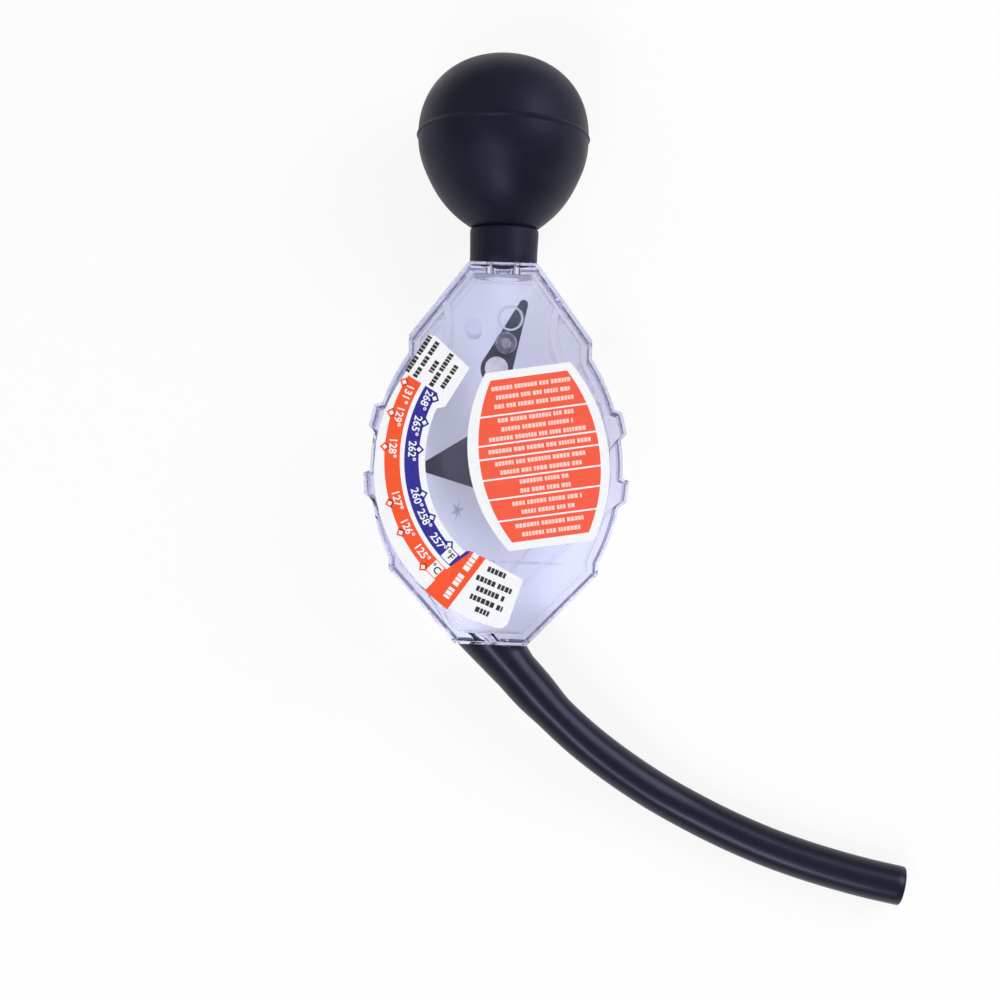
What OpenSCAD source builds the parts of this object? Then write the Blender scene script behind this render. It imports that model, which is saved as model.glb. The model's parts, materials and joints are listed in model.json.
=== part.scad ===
// Antifreeze hydrometer, lying on a table with its dial side up.
// A clear housing of two welded shells holds a weighted float pointer and a small level pointer, each on
// its own axle. A rubber bulb sits on the neck at one end, and a suction hose on the angled spout at the
// other. Every piece is drawn in the housing's own frame: X across, Y along the axis from the spout end to
// the bulb, Z out of the dial face, with the origin at the middle of the spout end. laid() then sets the
// whole object down on the table, where it rests on the bulb's seam and on the housing's lower back edge.

/* [Housing] */
// Length of the housing, from the spout end to the neck end
housing_len = 68.5; // [66:0.5:74]
// Thickness of the housing, from the dial face to the back
housing_depth = 20; // [18:0.5:24]
// Thickness of the side walls
housing_wall = 2.2; // [1.8:0.1:2.6]
// Thickness of the dial face and of the back
face_t = 1.6; // [1.2:0.1:2]
// Half of the housing's width at its widest place, without the grip lugs
flank_half_w = 22.65; // [21.5:0.05:24]
// Radius of the curved flanks
flank_r = 36.7; // [34:0.1:42]
// Distance of the widest place from the spout end
flank_y = 31.4; // [30:0.1:33]
// Half of the width of the spout end
spout_end_half_w = 6.45; // [6:0.05:8]
// Half of the width of the neck end
neck_end_half_w = 6.25; // [6:0.05:8]
// Height at which the sloping spout end stops
hip_y = 13.1; // [12:0.1:14]
// Length of the straight side above the slope of the spout end
hip_len = 2; // [1:0.1:3]
// Distance from the neck end to where the curved flank ends under the shoulder
shoulder_drop = 16.8; // [15.5:0.1:18.5]
// Length of the straight side of the shoulder
shoulder_len = 3.2; // [2:0.1:4]
// Lean of the side walls towards each face, for release from the mould
wall_draft = 0.2; // [0.1:0.05:0.4]
// Bevel round the dial face and the back
edge_bevel = 0.5; // [0.3:0.1:0.8]

/* [Grip lugs] */
// Height of the lower end of the lower lug
lug_y = 25; // [23:0.1:26]
// Distance from one lug to the next
lug_pitch = 12.2; // [10:0.1:13]
// Length of a lug along the side
lug_len = 5.7; // [4:0.1:7]
// How far a lug stands out of the side
lug_proud = 1.25; // [0.8:0.05:2]
// Length of the slope at the lower end of a lug
lug_lead = 1.2; // [0.6:0.1:1.6]
// Length of the slope at the upper end of a lug
lug_step = 0.5; // [0.3:0.1:1]

/* [Welded seam] */
// Width of the tongue on the rear shell
tongue_t = 0.8; // [0.6:0.05:1]
// Height of the tongue
tongue_h = 0.8; // [0.5:0.1:1.2]
// Clearance round the tongue in its groove
tongue_gap = 0.05; // [0.03:0.01:0.1]

/* [Neck and spout] */
// Outside diameter of the neck under the bulb
neck_d = 9.4; // [8.6:0.1:10]
// Bore of the neck
neck_bore = 6.4; // [5.4:0.1:6.8]
// Length of the neck beyond the housing
neck_len = 6; // [5:0.1:6.5]
// Outside diameter of the spout inside the hose
spout_d = 5.6; // [5:0.1:5.8]
// Bore of the spout
spout_bore = 3.6; // [3:0.1:4]
// Length of the spout beyond the housing
spout_len = 13; // [10:0.5:13.5]
// Angle between the spout and the housing's axis
spout_angle = 43.8; // [43.5:0.1:44.1]

/* [Shoulder ribs] */
// Radius of the curved rib that closes off each shoulder
rib_r = 14; // [12:0.5:16]
// Thickness of the rib
rib_t = 1.2; // [0.8:0.1:1.6]
// Nearest distance of the rib from the housing's axis
rib_x = 8.8; // [8.4:0.1:9.6]
// Distance of that nearest place from the neck end
rib_drop = 11.5; // [10.5:0.5:12.5]

/* [Pivots] */
// Place of the float pointer's axle across the housing
float_x = 9.2; // [8.6:0.1:9.4]
// Distance of the float pointer's axle from the neck end
float_drop = 35.3; // [34.9:0.1:36]
// Diameter of the float pointer's axle
float_axle_d = 1.8; // [1.4:0.1:2.2]
// Diameter of the bosses that hold that axle
float_boss_d = 5; // [4:0.1:6]
// Place of the level pointer's axle across the housing
level_x = 1; // [0.6:0.1:1.4]
// Distance of the level pointer's axle from the neck end
level_drop = 14.4; // [13.9:0.1:14.9]
// Diameter of the level pointer's axle
level_axle_d = 1.6; // [1.2:0.1:1.8]
// Diameter of the bosses that hold that axle
level_boss_d = 3.6; // [3.2:0.1:4]
// Length of the pointers' hubs along their axles
hub_len = 8.4; // [7:0.1:9]
// Gap between a hub and the boss at each end of it
hub_play = 0.3; // [0.2:0.05:0.5]
// Plastic left between the end of an axle and the outside of a shell
axle_cover = 2.1; // [1.8:0.1:2.4]
// Running clearance of a hub on its axle, on the radius
pivot_gap = 0.05; // [0.03:0.01:0.1]
// Seating clearance of an axle or a weight in its hole, on the radius
seat_gap = 0.02; // [0.01:0.01:0.03]

/* [Float pointer] */
// Distance of the tip from the axle
float_reach = 24.3; // [23:0.1:25]
// Angle of the edge on the bulb's side of the tip
float_upper_angle = 28; // [25:0.5:29]
// Angle of the edge on the hose's side of the tip
float_lower_angle = 20.5; // [18:0.5:22]
// Radius of the round back of the pointer
float_back_r = 8.4; // [8:0.1:8.8]
// Thickness of the pointer
float_t = 5; // [4:0.5:6]
// How far the tip rests below the line across the axle, in degrees
float_rest = 4.5; // [0:0.5:8]
// Depth of the moulded recess in each side
float_recess = 0.8; // [0.4:0.1:1.2]
// Width of the rim round that recess
float_rim = 1.4; // [1:0.1:1.8]
// Diameter of the pointer's hub
float_hub_d = 5; // [4.4:0.1:5.6]
// Diameter of the metal weight
float_weight_d = 4.4; // [4:0.1:4.8]
// Distance of the weight from the axle
float_weight_r = 5.3; // [5.2:0.05:5.5]
// Direction of the weight, in degrees from the pointer's line
float_weight_angle = 150; // [140:5:160]
// Length of the weight
float_weight_len = 5.6; // [5:0.1:6]

/* [Level pointer] */
// Distance of the tip from the axle
level_reach = 9; // [8.4:0.1:9.2]
// Half of the width at the tip
level_tip_r = 0.8; // [0.6:0.05:0.9]
// Thickness of the pointer
level_t = 3; // [2:0.1:4]
// How far the tip rests to the right of the housing's axis, in degrees
level_rest = 21; // [15:1:24]
// Diameter of the pointer's hub
level_hub_d = 3.4; // [3:0.1:3.6]
// Diameter of the metal weight
level_weight_d = 4.2; // [3.8:0.1:4.4]
// Distance of the weight from the axle
level_weight_r = 4.5; // [4.3:0.1:4.7]
// Width of the ring round the weight
level_ring = 0.8; // [0.6:0.1:0.9]
// Length of the weight
level_weight_len = 5; // [4:0.1:6]

/* [Moulded marks] */
// Place of the stop post across the housing
post_x = -5.1; // [-5.4:0.1:-5]
// Distance of the stop post from the neck end
post_drop = 11.1; // [10.7:0.1:11.5]
// Diameter of the stop post
post_d = 3; // [2.4:0.1:3.2]
// How far the stop post of the rear shell stands past the seam
post_past = 2.2; // [1.8:0.1:2.8]
// Height of the sight ring above the level pointer's axle
sight_rise = 4.2; // [4:0.1:6]
// How far the sight ring is to the right of that axle
sight_side = 0.7; // [0:0.1:1]
// Outside diameter of the sight ring
sight_d = 4.6; // [4.2:0.1:5.4]
// Width of the raised line of each mark
mark_w = 0.5; // [0.4:0.1:0.7]
// How far each mark stands out of its face
mark_h = 0.25; // [0.15:0.05:0.4]
// Height of the fill line
fill_y = 14.4; // [13.5:0.1:15]
// Length of the fill line
fill_len = 26; // [20:0.5:28]

/* [Bulb] */
// Radius of the ball
bulb_r = 15.6; // [14.5:0.1:17]
// Thickness of the rubber
bulb_wall = 2.2; // [1.6:0.1:2.8]
// Outside diameter of the collar
collar_d = 12.3; // [12:0.1:13]
// Length of the collar
collar_len = 7; // [6.8:0.1:8]
// Height of the ball's centre above the housing
bulb_rise = 24.2; // [23.5:0.1:25.5]
// Radius where the tapered throat runs into the ball
throat_r = 11.6; // [11:0.1:11.8]
// How far that place is below the ball's centre
throat_drop = 10.1; // [9.8:0.1:10.6]
// How far the seam lip stands out of the ball
lip_proud = 0.25; // [0.15:0.05:0.4]
// Width of the seam lip
lip_w = 0.8; // [0.5:0.1:1.2]
// Clearance of the collar round the neck, on the radius
collar_gap = 0.06; // [0.03:0.01:0.1]
// Gap between the collar and the end of the housing
collar_lift = 0.2; // [0.1:0.05:0.3]

/* [Hose] */
// Outside diameter of the hose
hose_d = 7.2; // [6.6:0.1:7.4]
// Bore of the hose
hose_bore = 4.6; // [4:0.1:5]
// Outside diameter where the hose is stretched over the spout
mouth_d = 8; // [7.6:0.1:8.4]
// Clearance of the hose round the spout, on the radius
mouth_gap = 0.1; // [0.08:0.01:0.15]
// Gap between the mouth of the hose and the end of the housing
mouth_lift = 0.15; // [0.1:0.05:0.3]

/* [Labels] */
// Thickness of the labels
label_t = 0.2; // [0.1:0.05:0.3]
// Bare margin between the labels and the housing's sides
label_margin = 0.8; // [0.8:0.1:1.2]
// Inner radius of the scale, round the float pointer's axle
scale_inner_r = 21.9; // [21.5:0.1:22.2]
// Radius of the inner corners of the scale label's two tabs, round that axle
scale_tab_r = 21.6; // [21:0.1:22]
// Radius of the corners where the tabs leave the scale
scale_root_r = 20.7; // [20:0.1:21]
// Radius of the outer corners of the tabs
scale_far_r = 30.8; // [30:0.1:31.2]
// Cut across those outer corners
scale_corner = 0.9; // [0.4:0.1:1.4]
// Radius of the scale label's outer edge
scale_outer_r = 28.9; // [28.5:0.1:29]
// How far the middle of that edge is to the left of the axle
scale_outer_left = 2.1; // [1.8:0.1:2.4]
// How far it is below the axle
scale_outer_down = 1.7; // [1.4:0.1:2]
// How far the advice label's middle is to the left of the axle
advice_left = 1.6; // [1.2:0.1:2]
// How far it is above the axle
advice_up = 0.7; // [0.4:0.1:1]
// Length of the advice label
advice_len = 32.8; // [31:0.1:33.5]
// Half of the advice label's width at its two ends
advice_end_half_w = 7.45; // [7:0.05:8]
// Half of the advice label's width at its middle
advice_half_w = 12.1; // [11.5:0.1:12.4]
// Turn of the advice label, in degrees
advice_turn = 9; // [7:0.5:11]

/* [Hidden] */

$fn = 96;
flank_steps = 5;     // straight pieces in each stretch of a flank
arc_steps = 24;      // straight pieces in each arc of a label
hose_sides = 12;
root = 0.2;          // how far a moulded detail runs into the wall that carries it
over = 1;            // how far a cut runs past the surface that it opens

half_depth = housing_depth / 2;
inner_z = half_depth - face_t;
hip_top = hip_y + hip_len;
shoulder_y = housing_len - shoulder_drop;
shoulder_top = shoulder_y + shoulder_len;
float_at = [float_x, housing_len - float_drop];
level_at = [level_x, housing_len - level_drop];
face_inset = wall_draft + edge_bevel;
boss_z = hub_len / 2 + hub_play;
axle_len = 2 * (half_depth - axle_cover);

// Places on the bulb, along the housing's axis
bulb_foot = housing_len + collar_lift;
bulb_y = housing_len + bulb_rise;
lip_r = bulb_r + lip_proud;

// The tilt and the lift that set the bulb's seam and the lower back edge on the table
lie_angle = atan2(lip_r - half_depth, bulb_y - lip_w / 2 - face_inset);
lie_lift = half_depth * cos(lie_angle) - face_inset * sin(lie_angle);
// The middle of the object without its hose, along the table
far_end = bulb_y * cos(lie_angle) + bulb_r;
near_end = -(spout_len * cos(spout_angle) + spout_d / 2 * sin(spout_angle)) * cos(lie_angle);
middle = (far_end + near_end) / 2;

// The hose's route in the housing's frame: along the spout, down to the table, then away over it
hose_route = [
    [0, 0, 0], [4.8, -5, 0], [9.6, -10, 0], [13.2, -13.5, -0.2], [17.4, -17.1, -0.8],
    [21.9, -20.5, -1.8], [26.6, -23.7, -2.9], [31.5, -26.7, -3.85], [36.6, -29.4, -4.35],
    [41.8, -31.9, -4.35], [47.2, -34.2, -4.2], [52.8, -36.3, -4.1], [58.5, -38.1, -3.95],
    [64.4, -39.7, -3.85], [70.4, -41.1, -3.75], [76.6, -42.3, -3.7]
];
hose_last = len(hose_route) - 1;
on_spout = 2;        // the last route point at which the hose is stretched over the spout

function unit(v) = v / norm(v);
function on_circle(centre, r, angle) = centre + r * [cos(angle), sin(angle)];
function arc(centre, r, from, to) =
    [for (i = [0:arc_steps]) on_circle(centre, r, from + (to - from) * i / arc_steps)];
// Half of the housing's width at a height between hip and shoulder
function flank(y) = sqrt(flank_r * flank_r - (y - flank_y) * (y - flank_y)) - flank_r + flank_half_w;
function flank_run(low, high) =
    [for (i = [0:flank_steps]) let (y = low + (high - low) * i / flank_steps) [flank(y), y]];
function lug(low) = [
    [flank(low + lug_lead) + lug_proud, low + lug_lead],
    [flank(low + lug_len - lug_step) + lug_proud, low + lug_len - lug_step]
];
function both_sides(right) =
    concat(right, [for (i = [len(right) - 1:-1:0]) [-right[i][0], right[i][1]]]);
function inward(a, b) = let (t = unit(b - a)) [-t[1], t[0]];
// An outline that runs anticlockwise, drawn in by a distance all round
function drawn_in(outline, distance) =
    let (n = len(outline))
    [for (i = [0:n - 1])
        let (
            here = outline[i],
            before = inward(outline[(i + n - 1) % n], here),
            after = inward(here, outline[(i + 1) % n])
        )
        here + distance * (before + after) / (1 + before * after)];

spout_end = [[spout_end_half_w, 0], [flank(hip_top), hip_y]];
neck_end = [[flank(shoulder_y), shoulder_top], [neck_end_half_w, housing_len]];
// The housing's sides without and with the grip lugs
plain_outline = both_sides(concat(spout_end, flank_run(hip_top, shoulder_y), neck_end));
lug_outline = both_sides(concat(
    spout_end,
    flank_run(hip_top, lug_y), lug(lug_y),
    flank_run(lug_y + lug_len, lug_y + lug_pitch), lug(lug_y + lug_pitch),
    flank_run(lug_y + lug_pitch + lug_len, shoulder_y),
    neck_end
));
chamber_outline = drawn_in(plain_outline, housing_wall);

module laid() {
    translate([0, -middle, lie_lift]) rotate([lie_angle, 0, 0]) children();
}

// A closed solid through outlines of as many points each, given as [height, outline]
module loft(levels) {
    n = len(levels[0][1]);
    top = (len(levels) - 1) * n;
    polyhedron(
        [for (level = levels) for (p = level[1]) [p[0], p[1], level[0]]],
        concat(
            [[for (i = [0:n - 1]) i]],
            [for (k = [0:n:top - n]) for (i = [0:n - 1]) let (j = (i + 1) % n)
                each [[k + i, k + n + i, k + n + j], [k + i, k + n + j, k + j]]],
            [[for (i = [n - 1:-1:0]) top + i]]
        )
    );
}

module along_axis(y) {
    translate([0, y, 0]) rotate([-90, 0, 0]) children();
}

module along_spout() {
    rotate([0, 0, spout_angle]) rotate([90, 0, 0]) children();
}

module at_float() {
    translate(float_at) children();
}

module at_level() {
    translate(level_at) children();
}

// An extrusion up to a height over the seam, which starts a little below the seam
module from_seam(height, below = over) {
    translate([0, 0, -below]) linear_extrude(below + height) children();
}

module rod(d, length) {
    cylinder(h = length, d = d, center = true);
}

// Boss from a shell's inner face towards the hub that it holds
module boss(d) {
    translate([0, 0, boss_z]) cylinder(h = inner_z + root - boss_z, d = d);
}

module shoulder_ribs() {
    intersection() {
        from_seam(inner_z + root) polygon(drawn_in(plain_outline, housing_wall - root));
        for (side = [-1, 1])
            translate([side * (rib_x + rib_r), housing_len - rib_drop, 0])
                difference() {
                    rod(2 * rib_r, 2 * housing_depth);
                    rod(2 * (rib_r - rib_t), 3 * housing_depth);
                }
    }
}

// What the two shells have in common: one half of the housing, from the seam to a face
module shell_half() {
    difference() {
        union() {
            difference() {
                union() {
                    loft([
                        [-over, lug_outline],
                        [0, lug_outline],
                        [half_depth - edge_bevel, drawn_in(lug_outline, wall_draft)],
                        [half_depth, drawn_in(lug_outline, face_inset)]
                    ]);
                    along_axis(housing_len - housing_wall) cylinder(h = housing_wall + neck_len, d = neck_d);
                    along_spout() translate([0, 0, -spout_d]) cylinder(h = spout_len + spout_d, d = spout_d);
                }
                from_seam(inner_z, 2 * over) polygon(chamber_outline);
            }
            shoulder_ribs();
            at_float() boss(float_boss_d);
            at_level() boss(level_boss_d);
        }
        passages();
        at_float() rod(float_axle_d + 2 * seat_gap, axle_len);
        at_level() rod(level_axle_d + 2 * seat_gap, axle_len);
        translate([-housing_len, -housing_len, -housing_depth])
            cube([2 * housing_len, 3 * housing_len, housing_depth]);
    }
}

// The ways through the neck and the spout into the chamber
module passages() {
    along_axis(housing_len - housing_wall - over) cylinder(h = housing_wall + neck_len + 2 * over, d = neck_bore);
    along_spout() translate([0, 0, -spout_d]) cylinder(h = spout_len + spout_d + over, d = spout_bore);
}

// A band along the middle of the side walls, for the tongue and its groove
module seam_band(width, height) {
    linear_extrude(height)
        difference() {
            polygon(drawn_in(plain_outline, (housing_wall - width) / 2));
            polygon(drawn_in(plain_outline, (housing_wall + width) / 2));
        }
}

module sight_mark() {
    translate([sight_side, sight_rise, 0])
        difference() {
            cylinder(h = root + mark_h, d = sight_d);
            translate([0, 0, -over]) cylinder(h = root + mark_h + 2 * over, d = sight_d - 2 * mark_w);
        }
}

module front_shell() {
    color("lavender", 0.35)
        union() {
            difference() {
                shell_half();
                translate([0, 0, -over])
                    seam_band(tongue_t + 2 * tongue_gap, over + tongue_h + tongue_gap);
            }
            at_level() translate([0, 0, half_depth - root]) sight_mark();
        }
}

module rear_shell() {
    color("lavender", 0.35)
        mirror([0, 0, 1])
            union() {
                shell_half();
                difference() {
                    translate([0, 0, -tongue_h]) seam_band(tongue_t, tongue_h + root);
                    passages();
                }
                translate([post_x, housing_len - post_drop, -post_past])
                    cylinder(h = post_past + inner_z + root, d = post_d);
                translate([-fill_len / 2, fill_y, inner_z - mark_h]) cube([fill_len, mark_w, mark_h + root]);
            }
}

module squeeze_bulb() {
    color([0.11, 0.11, 0.13])
        along_axis(bulb_foot)
            rotate_extrude()
                difference() {
                    bulb_outside(bulb_y - bulb_foot);
                    bulb_inside(bulb_y - bulb_foot);
                }
}

// Half of the bulb's section, with its centre at the given height over the collar's foot
module bulb_outside(rise) {
    half_disc(bulb_r, rise);
    square([collar_d / 2, collar_len]);
    polygon([
        [0, collar_len], [collar_d / 2, collar_len], [throat_r, rise - throat_drop], [0, rise - throat_drop]
    ]);
    translate([0, rise - lip_w / 2]) square([lip_r, lip_w]);
}

module bulb_inside(rise) {
    half_disc(bulb_r - bulb_wall, rise);
    translate([0, -over]) square([neck_d / 2 + collar_gap, over + neck_len]);
    square([neck_bore / 2, rise]);
}

module half_disc(r, rise) {
    intersection() {
        translate([0, rise]) circle(r);
        translate([0, rise - r]) square([r, 2 * r]);
    }
}

// The float pointer points along -X, with its lower edge towards the hose
float_tip = [-float_reach, 0];
lower_corner = on_circle([0, 0], float_reach * sin(float_lower_angle), 270 - float_lower_angle);
upper_r = float_reach * sin(float_upper_angle);
upper_corner = on_circle([0, 0], upper_r, 90 + float_upper_angle);
back_angle = 90 + float_upper_angle - acos(min(1, float_back_r / upper_r));
float_blade = [float_tip, lower_corner, [0, 0], on_circle([0, 0], float_back_r, back_angle), upper_corner];
float_weight_at = on_circle([0, 0], float_weight_r, 180 + float_weight_angle);

module float_turned() {
    at_float() rotate([0, 0, float_rest]) children();
}

// The recess keeps a rim along the blade's edges and round the hub
module float_pocket() {
    linear_extrude(float_recess + over)
        difference() {
            polygon(drawn_in([float_tip, lower_corner, upper_corner], float_rim));
            circle(float_hub_d / 2 + float_rim);
        }
}

module float_pointer() {
    color([0.27, 0.28, 0.34])
        float_turned()
            difference() {
                union() {
                    linear_extrude(float_t, center = true)
                        union() {
                            polygon(float_blade);
                            circle(float_back_r);
                        }
                    rod(float_hub_d, hub_len);
                }
                for (side = [0, 1])
                    mirror([0, 0, side]) translate([0, 0, float_t / 2 - float_recess]) float_pocket();
                rod(float_axle_d + 2 * pivot_gap, hub_len + over);
                translate(float_weight_at) rod(float_weight_d + 2 * seat_gap, float_t + over);
            }
}

module float_weight() {
    color("goldenrod") float_turned() translate(float_weight_at) rod(float_weight_d, float_weight_len);
}

module float_axle() {
    color("silver") at_float() rod(float_axle_d, axle_len);
}

level_ring_r = level_weight_d / 2 + level_ring;

module level_turned() {
    at_level() rotate([0, 0, -level_rest]) children();
}

module level_pointer() {
    tip_y = level_reach - level_tip_r;
    color([0.27, 0.28, 0.34])
        level_turned()
            difference() {
                union() {
                    linear_extrude(level_t, center = true)
                        union() {
                            polygon([
                                [-level_ring_r, -level_weight_r], [level_ring_r, -level_weight_r],
                                [level_tip_r, tip_y], [-level_tip_r, tip_y]
                            ]);
                            translate([0, tip_y]) circle(level_tip_r);
                            translate([0, -level_weight_r]) circle(level_ring_r);
                        }
                    rod(level_hub_d, hub_len);
                }
                rod(level_axle_d + 2 * pivot_gap, hub_len + over);
                translate([0, -level_weight_r]) rod(level_weight_d + 2 * seat_gap, level_t + over);
            }
}

module level_weight() {
    color("gainsboro") level_turned() translate([0, -level_weight_r]) rod(level_weight_d, level_weight_len);
}

module level_axle() {
    color("silver") at_level() rod(level_axle_d, axle_len);
}

// A label on the dial face, which keeps its margin from the housing's sides
module on_dial_face() {
    translate([0, 0, half_depth])
        linear_extrude(label_t)
            intersection() {
                children();
                polygon(drawn_in(plain_outline, label_margin));
            }
}

// The scale label: an arc round the float pointer's axle, with a tab at each end for notes
function round_axle(r, angle) = on_circle(float_at, r, angle);
scale_outline = concat(
    [
        round_axle(scale_far_r, 135.4), round_axle(scale_far_r - scale_corner, 134),
        round_axle(scale_tab_r, 132.2), round_axle(scale_root_r, 154.3)
    ],
    arc(float_at, scale_inner_r, 156.7, 228.5),
    [
        round_axle(scale_tab_r, 230.7), round_axle(scale_root_r, 238.9), round_axle(scale_tab_r, 259.9),
        round_axle(scale_far_r - scale_corner, 257.8), round_axle(scale_far_r, 256.4)
    ],
    arc(float_at - [scale_outer_left, scale_outer_down], scale_outer_r, 257.6, 146.4)
);

module scale_label() {
    color("white") on_dial_face() polygon(scale_outline);
}

// The advice label: straight ends and bulging sides
advice_bulge = advice_half_w - advice_end_half_w;
advice_side_r = (advice_len * advice_len / 4 + advice_bulge * advice_bulge) / (2 * advice_bulge);
advice_side_angle = asin(advice_len / 2 / advice_side_r);
advice_side = arc([advice_half_w - advice_side_r, 0], advice_side_r, -advice_side_angle, advice_side_angle);

module advice_label() {
    color("orangered")
        on_dial_face()
            translate(float_at + [-advice_left, advice_up])
                rotate(advice_turn) polygon(both_sides(advice_side));
}

function hose_heading(i) =
    unit(hose_route[min(i + 1, hose_last)] - hose_route[max(i - 1, 0)]);
function hose_ring(i, r) =
    let (
        ahead = hose_heading(i),
        side = unit(cross([0, 0, 1], ahead)),
        up = cross(ahead, side)
    )
    [for (k = [0:hose_sides - 1])
        let (angle = 360 * (k + 0.5) / hose_sides)
        hose_route[i] + r * (cos(angle) * side + sin(angle) * up)];
// The mouth is cut to lie flat against the end of the housing
function hose_mouth(r) =
    let (ahead = hose_heading(0))
    [for (p = hose_ring(0, r)) p + ahead * (-mouth_lift - p[1]) / ahead[1]];
function hose_rings(stretched, free) = concat(
    [hose_mouth(stretched)],
    [for (i = [1:on_spout]) hose_ring(i, stretched)],
    [for (i = [on_spout + 1:hose_last]) hose_ring(i, free)]
);

module suction_hose() {
    flat_to_corner = 1 / cos(180 / hose_sides);
    outside = hose_rings(mouth_d / 2, hose_d / 2);
    inside = hose_rings((spout_d / 2 + mouth_gap) * flat_to_corner, hose_bore / 2);
    rings = concat(outside, [for (i = [hose_last:-1:0]) inside[i]]);
    n = hose_sides;
    color([0.09, 0.09, 0.11])
        polyhedron(
            [for (ring = rings) each ring],
            [for (k = [0:len(rings) - 1]) for (i = [0:n - 1])
                let (a = k * n, b = ((k + 1) % len(rings)) * n, j = (i + 1) % n)
                each [[a + i, b + j, b + i], [a + i, a + j, b + j]]]
        );
}

laid() squeeze_bulb();
laid() front_shell();
laid() rear_shell();
laid() float_pointer();
laid() float_weight();
laid() float_axle();
laid() level_pointer();
laid() level_weight();
laid() level_axle();
laid() scale_label();
laid() advice_label();
laid() suction_hose();
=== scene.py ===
"""Antifreeze hydrometer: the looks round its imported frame.

Every piece is modelled in the housing's own frame in millimetres, X across, Y along the axis towards the bulb
and Z out of the dial face, and is then laid into the row frame in metres, as the solids are. The finishes and
the studio are in metres. Angles are in degrees.
"""

import json
import logging
import math
import random
from collections.abc import Iterable
from dataclasses import dataclass, field
from enum import Enum
from functools import cache

import bmesh
import bpy
from bmesh.types import BMEdge, BMesh, BMFace, BMVert
from bpy.types import ID, Material, Mesh, Node, NodeSocket, Object
from mathutils import Matrix, Vector

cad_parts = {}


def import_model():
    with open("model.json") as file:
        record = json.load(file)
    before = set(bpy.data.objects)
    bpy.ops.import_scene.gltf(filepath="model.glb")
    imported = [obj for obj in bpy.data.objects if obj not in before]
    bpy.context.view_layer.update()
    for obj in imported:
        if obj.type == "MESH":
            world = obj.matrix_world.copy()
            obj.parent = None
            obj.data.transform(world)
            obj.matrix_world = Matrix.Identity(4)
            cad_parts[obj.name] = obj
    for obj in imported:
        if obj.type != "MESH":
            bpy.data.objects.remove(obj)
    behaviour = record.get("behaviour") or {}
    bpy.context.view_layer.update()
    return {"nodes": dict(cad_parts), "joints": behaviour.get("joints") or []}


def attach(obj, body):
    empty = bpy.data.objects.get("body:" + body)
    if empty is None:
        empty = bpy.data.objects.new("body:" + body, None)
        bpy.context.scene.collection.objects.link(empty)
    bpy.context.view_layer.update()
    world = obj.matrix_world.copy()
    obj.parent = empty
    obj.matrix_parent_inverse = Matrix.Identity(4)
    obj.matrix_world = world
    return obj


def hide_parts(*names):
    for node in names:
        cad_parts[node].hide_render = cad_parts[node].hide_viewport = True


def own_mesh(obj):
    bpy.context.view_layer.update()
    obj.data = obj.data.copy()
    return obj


log = logging.getLogger("hydrometer")

Colour = tuple[float, float, float]
Place = tuple[float, float, float]
Point = tuple[float, float]
Range = tuple[float, float]

MM = 0.001
FULL_TURN = 2 * math.pi
UP = Vector((0, 0, 1))
# how near two corners are that become one
MERGE = 1e-4
# the middle range of a noise pattern
PATTERN = (0.35, 0.65)
# where a Mix node has its colours and their mixture
MIX_COLOURS = (6, 7)
MIX_RESULT = 2
# where the float's axle stands
FLOAT_AXLE = (9.2, 33.2)
# heights over the seam plane
DIAL_FACE = 10.0
LABEL_FACE = 10.2
# how far print reaches into its label
PRINT_FOOT = 0.02


class Body(str, Enum):
    """The frame's bodies that new pieces ride on."""

    HOUSING = "housing"
    BULB = "bulb"
    POINTER = "pointer"


class Slot(str, Enum):
    """The record's material slots that the new pieces' finishes belong to."""

    BULB = "bulb_rubber"
    CLEAR = "clear_plastic"
    POINTER = "pointer_plastic"
    SCALE = "scale_film"
    ADVICE = "advice_film"
    HOSE = "hose_rubber"


class Layer(Enum):
    """How far each layer of print stands out of its label."""

    FIELD = 0.012
    PALE = 0.022
    DARK = 0.03


# Finishes


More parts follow.
